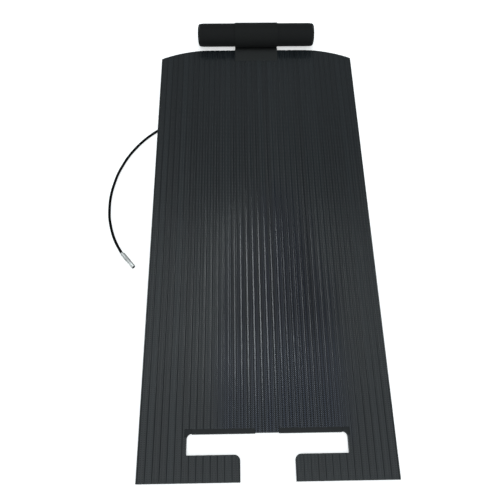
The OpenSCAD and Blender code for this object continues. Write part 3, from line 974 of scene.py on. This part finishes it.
# Places and sizes of the pattern, in map units
LIT_OVAL_X, LIT_OVAL_HALF_X = 0.25, 0.9           # the oval where the light falls brightest, where the pattern is painted strongest
LIT_OVAL_Y, LIT_OVAL_HALF_Y = -2.7, 2.8
LIT_OVAL_NONE, LIT_OVAL_FULL = 1.7, 0.3           # where it fades out, as squared shares of its half sizes
FEET_TOP, LIT_OVAL_BOTTOM = -3.75, -3.45       # it also fades out between these, towards the feet
DOT_PITCH = 0.03
# the dots' painted glints fade in between these places along the sheet
DOTS_FADE, DOTS_FULL = -1.6, -2.6
GRAIN_PITCH = 0.0125
CLOUD_STRETCH = (1.4, 0.5, 1)
STREAK_STRETCH = (26, 0.35, 1)
# Shares of a strip's width, from its middle
GROOVE_EDGE = (0.425, 0.475)
SCRIBE_PLACE = 0.22
SCRIBE_EDGE = (0.12, 0.07)                  # from the middle of the scribed band
# Other shares
DASH_EDGE = (0.12, 0.28)                    # half of the gap between two dashes, of the dots' pitch
DASH_LEAST = 0.4                            # and outside the painted lit oval
LINES_LEAST = 0.25                          # and where the film isn't clear
TONE_SHARE = 0.7
GROOVE_SHARE = 0.5
ROUGH_LEAST, ROUGH_STREAKS, ROUGH_LINES = 0.08, 0.12, 0.7
GRAIN_RAISED, LINES_SUNK = 0.03, 0.9        # of the relief


def film_finish():
    """The laminated front: near-black strips, each groove darker in colour. In an oval where the light falls
    brightest, the cells' dotted scribe lines and navy colour are painted strongest: the dots bright as
    painted glints, the lines darkest as painted shade, and the navy partly the cells' own colour and partly
    painted shade."""
    f = Finish("laminated_cell_film", specular=0.4)
    place = f.rest()
    x, y = f.axes(place)[:2]
    strips = f.math("MULTIPLY_ADD", x, MAP_UNIT / PITCH, STRIPS / 2)
    tone = f.random(f.math("FLOOR", strips))
    from_middle = f.math("ABSOLUTE", f.math("SUBTRACT", f.math("FRACT", strips), 0.5))
    groove = f.step(from_middle, *GROOVE_EDGE)

    cloud = f.noise(f.stretched(place, CLOUD_STRETCH), 1.0)
    streaks = f.noise(f.stretched(place, STREAK_STRETCH), 1.0, detail=2)
    # clear marks the lit oval, where the navy, the dark lines and the dots' painted glints are painted
    # strongest
    off_x = f.math("POWER", f.math("DIVIDE", f.math("SUBTRACT", x, LIT_OVAL_X), LIT_OVAL_HALF_X), 2)
    off_y = f.math("POWER", f.math("DIVIDE", f.math("SUBTRACT", y, LIT_OVAL_Y), LIT_OVAL_HALF_Y), 2)
    off = f.math("ADD", f.math("ADD", off_x, off_y), f.math("MULTIPLY_ADD", cloud, 1.2, -0.6))
    clear = f.math("MULTIPLY", f.step(off, LIT_OVAL_NONE, LIT_OVAL_FULL), f.step(y, FEET_TOP, LIT_OVAL_BOTTOM))

    along_dot = f.math("SUBTRACT", f.math("FRACT", f.math("DIVIDE", y, DOT_PITCH)), 0.5)
    dash = f.step(f.math("ABSOLUTE", along_dot), *DASH_EDGE)
    scribe = f.step(f.math("ABSOLUTE", f.math("SUBTRACT", from_middle, SCRIBE_PLACE)), *SCRIBE_EDGE)
    dashed = f.math("MULTIPLY", scribe, f.math("MULTIPLY_ADD", dash, 1 - DASH_LEAST, DASH_LEAST))
    lines = f.math("MULTIPLY", dashed, f.math("MULTIPLY_ADD", clear, 1 - LINES_LEAST, LINES_LEAST))
    base = f.mix(clear, FILM_BLACK, FILM_NAVY)
    base = f.mix(f.math("MULTIPLY", tone, TONE_SHARE), base, FILM_DEEP)
    # The dots are painted bright as glints, only in the lower part of the lit oval: a painted highlight
    dots = f.math("MULTIPLY", f.step(f.weave(x, y, DOT_PITCH), 0.55, 0.85), f.step(y, DOTS_FADE, DOTS_FULL))
    base = f.mix(f.math("MULTIPLY", dots, clear), base, FILM_DOT_GLINT)
    base = f.mix(lines, base, FILM_LINE)
    base = f.mix(f.math("MULTIPLY", groove, GROOVE_SHARE), base, FILM_LINE)
    f.set("Base Color", base)
    rough = f.math("MULTIPLY_ADD", streaks, ROUGH_STREAKS, ROUGH_LEAST)
    rough = f.math("MULTIPLY_ADD", f.math("MAXIMUM", groove, lines), ROUGH_LINES, rough)
    f.set("Roughness", rough)
    grain = f.weave(x, y, GRAIN_PITCH)
    height = f.math("ADD", f.math("MULTIPLY", grain, GRAIN_RAISED),
                    f.math("MULTIPLY_ADD", lines, -LINES_SUNK, LINES_SUNK))
    f.bump(height, FILM_RELIEF)
    return f.material


def toned(color, times):
    return tuple(min(c * times, 1.0) for c in color)


def rubber_finish(name, color, grain, depth, roughness=0.7, specular=0.3):
    """Moulded or coated rubber on a piece that bends: pebbled, and a little cloudy in tone."""
    f = Finish(name, specular=specular)
    place = f.rest()
    cloud = f.noise(place, 2.2)
    pebble = f.pebbles(place, 1 / grain)
    f.set("Base Color", f.mix(f.step(cloud, 0.35, 0.7), color, toned(color, 1.5)))
    f.set("Roughness", f.math("MULTIPLY_ADD", cloud, 0.2, roughness - 0.1))
    f.bump(f.math("MULTIPLY_ADD", pebble, -1, 1), depth)
    return f.material


# The strap and the bolster are one cloth: painted a little darker on the bolster and lighter on the strap, as
# painted shade and light
CLOTH_BLACK = (0.0068, 0.007, 0.0072)
STRAP_BLACK = (0.0076, 0.0079, 0.0079)
TAB_PAINTED_LIGHT = (0.019, 0.02, 0.02)              # the flat tab is painted lighter than the part round the bolster: painted light against the bolster's shade on it
TAB_END, TAB_START = 0.4, 0.26              # in map units along the strap
CLOTH_PITCH = 1.1 * MM
CLOTH_DEPTH = 0.08 * MM
THREAD_TONE = 1.35                          # how much lighter the lightest thread is


def cloth_finish(f, across, along, pitch, color, lighter):
    """Coated cloth: a fine weave, threads of slightly different tone between color and lighter, painted shade
    in its hollows.
    """
    thread = f.weave(across, along, pitch)
    strand = f.random(f.math("FLOOR", f.math("DIVIDE", along, pitch)))
    # tone: a random tone for each thread, plus the weave's height, which paints its hollows darker as painted
    # shade
    tone = f.math("MULTIPLY_ADD", strand, 0.3, f.math("MULTIPLY", thread, 0.4))
    f.set("Base Color", f.mix(tone, color, lighter))
    f.set("Roughness", f.math("MULTIPLY_ADD", thread, -0.12, 0.9))
    f.bump(thread, CLOTH_DEPTH)
    return f.material


def strap_finish():
    f = Finish("coated_strap_cloth", specular=0.2)
    x, y = f.axes(f.rest())[:2]
    # the tab's lighter colour is painted light, lifting the shade that the bolster casts on it
    tab = f.step(y, TAB_END, TAB_START)
    color = f.mix(tab, STRAP_BLACK, TAB_PAINTED_LIGHT)
    lighter = f.mix(tab, toned(STRAP_BLACK, THREAD_TONE), toned(TAB_PAINTED_LIGHT, THREAD_TONE))
    return cloth_finish(f, x, y, CLOTH_PITCH / MAP_UNIT, color, lighter)


def bolster_finish():
    f = Finish("coated_bolster_cloth", specular=0.2)
    x, y, z = f.axes(f.place())
    turn = f.math("ARCTAN2", f.math("SUBTRACT", y, ROLL_AXIS.y), f.math("SUBTRACT", z, ROLL_AXIS.z))
    around = f.math("MULTIPLY", turn, ROLL_R)
    return cloth_finish(f, x, around, CLOTH_PITCH, CLOTH_BLACK, toned(CLOTH_BLACK, THREAD_TONE))


def moulded_finish(name, color, grain, depth, roughness=0.5, specular=0.5):
    """Moulded plastic or rubber on a rigid piece: a fine even grain and a faint cloud in its tone."""
    f = Finish(name, specular=specular)
    place = f.place()
    cloud = f.noise(place, 90)
    f.set("Base Color", f.mix(f.step(cloud, 0.3, 0.75), color, toned(color, 1.4)))
    f.set("Roughness", f.math("MULTIPLY_ADD", cloud, 0.2, roughness - 0.1))
    f.bump(f.noise(place, 1 / grain, detail=2), depth)
    return f.material


def metal_finish(name, color, brushed, roughness=0.25):
    """Metal with fine marks drawn out one way. brushed is how much the noise is squeezed on each axis."""
    f = Finish(name, metallic=1.0)
    place = f.place()
    marks = f.noise(f.stretched(place, brushed), 1.0, detail=4)
    tarnish = f.noise(place, 160)
    f.set("Base Color", f.mix(f.step(tarnish, 0.4, 0.8), color, toned(color, 0.72)))
    f.set("Roughness", f.math("MULTIPLY_ADD", marks, 0.25, roughness - 0.1))
    f.bump(marks, 0.01 * MM)
    return f.material


CELL_LINE_PITCH = 0.03                      # in map units
CELL_LINE_EDGE = (0.1, 0.04)                # as shares of the pitch


def cell_finish():
    """Thin-film cells: deep navy, with fine collecting lines across each strip."""
    f = Finish("thin_film_cells", roughness=0.25)
    place = f.rest()
    y = f.axes(place)[1]
    line = f.step(f.math("FRACT", f.math("DIVIDE", y, CELL_LINE_PITCH)), *CELL_LINE_EDGE)
    navy = f.mix(f.noise(place, 3), (0.006, 0.01, 0.035), (0.012, 0.014, 0.03))
    f.set("Base Color", f.mix(line, navy, (0.25, 0.26, 0.28)))
    f.bump(line, 0.02 * MM)
    return f.material


def floor_finish():
    f = Finish("pale_floor", roughness=0.85, specular=0.2)
    place = f.place()
    f.set("Base Color", f.mix(f.noise(place, 3), (0.93, 0.93, 0.93), (0.96, 0.96, 0.96)))
    f.set("Emission Color", (1.0, 1.0, 1.0))
    f.set("Emission Strength", FLOOR_GLOW)
    f.bump(f.noise(place, 700, detail=2), 0.02 * MM)
    return f.material


def foam_finish():
    f = Finish("open_cell_foam", roughness=0.95, specular=0.1)
    place = f.place()
    pores = f.pebbles(place, 900)
    # the pores' hollows are painted darker, as painted shade
    f.set("Base Color", f.mix(f.step(pores, 0.1, 0.6), (0.02, 0.021, 0.023), (0.06, 0.062, 0.065)))
    f.bump(pores, 0.5 * MM)
    return f.material


def dress(material, *pieces):
    """Gives pieces one material. A name stands for the CAD node."""
    for piece in pieces:
        obj = NODES[piece] if isinstance(piece, str) else piece
        if not obj.material_slots:
            obj.data.materials.append(material)
        for slot in obj.material_slots:
            slot.material = material


ANY_WAY = (400, 400, 400)
ALONG_SHEET = (3000, 60, 3000)
ACROSS_SHEET = (40, 2500, 2500)

dress(floor_finish(), floor)
dress(film_finish(), *films)
dress(rubber_finish("backing_rubber", (0.014, 0.0155, 0.017), 0.016, 0.12 * MM), *backings)
dress(cell_finish(), *cells)
dress(rubber_finish("binding_rubber", (0.0085, 0.0095, 0.0105), 0.006, 0.03 * MM, roughness=0.6), *bindings)
dress(strap_finish(), strap)
dress(bolster_finish(), bolster, *seams)
dress(foam_finish(), "roll_foam")
dress(moulded_finish("lead_jacket", (0.004, 0.0043, 0.0048), 0.5 * MM, 0.03 * MM,
                     roughness=0.9, specular=0.02), lead)
dress(moulded_finish("relief_rubber", (0.009, 0.0095, 0.01), 0.6 * MM, 0.05 * MM, roughness=0.65),
      "strain_relief")
dress(moulded_finish("junction_plastic", (0.015, 0.016, 0.018), 0.35 * MM, 0.06 * MM),
      "junction_base", "junction_lid")
dress(moulded_finish("gasket_rubber", (0.03, 0.031, 0.033), 0.5 * MM, 0.04 * MM, roughness=0.7),
      "junction_gasket")
dress(moulded_finish("diode_epoxy", (0.007, 0.007, 0.008), 0.3 * MM, 0.04 * MM, roughness=0.55),
      "blocking_diode")
dress(moulded_finish("plug_insulator", (0.006, 0.006, 0.007), 0.3 * MM, 0.02 * MM, roughness=0.4),
      "plug_insulator")
dress(moulded_finish("wire_insulation", (0.35, 0.03, 0.025), 0.4 * MM, 0.02 * MM, roughness=0.4),
      "lead_cores")
dress(metal_finish("plug_nickel", (0.72, 0.72, 0.71), ANY_WAY, 0.24), *plug)
dress(metal_finish("bus_copper", (0.72, 0.38, 0.24), ALONG_SHEET, 0.35), "cross_ribbons", *ribbons)
dress(metal_finish("screw_steel", (0.55, 0.56, 0.58), ANY_WAY, 0.3), "lid_screws")
dress(metal_finish("terminal_brass", (0.75, 0.56, 0.24), ANY_WAY, 0.3),
      "terminal_positive", "terminal_negative", "plug_centre_pin")
dress(metal_finish("core_aluminium", (0.72, 0.73, 0.75), ACROSS_SHEET, 0.35), "roll_core")
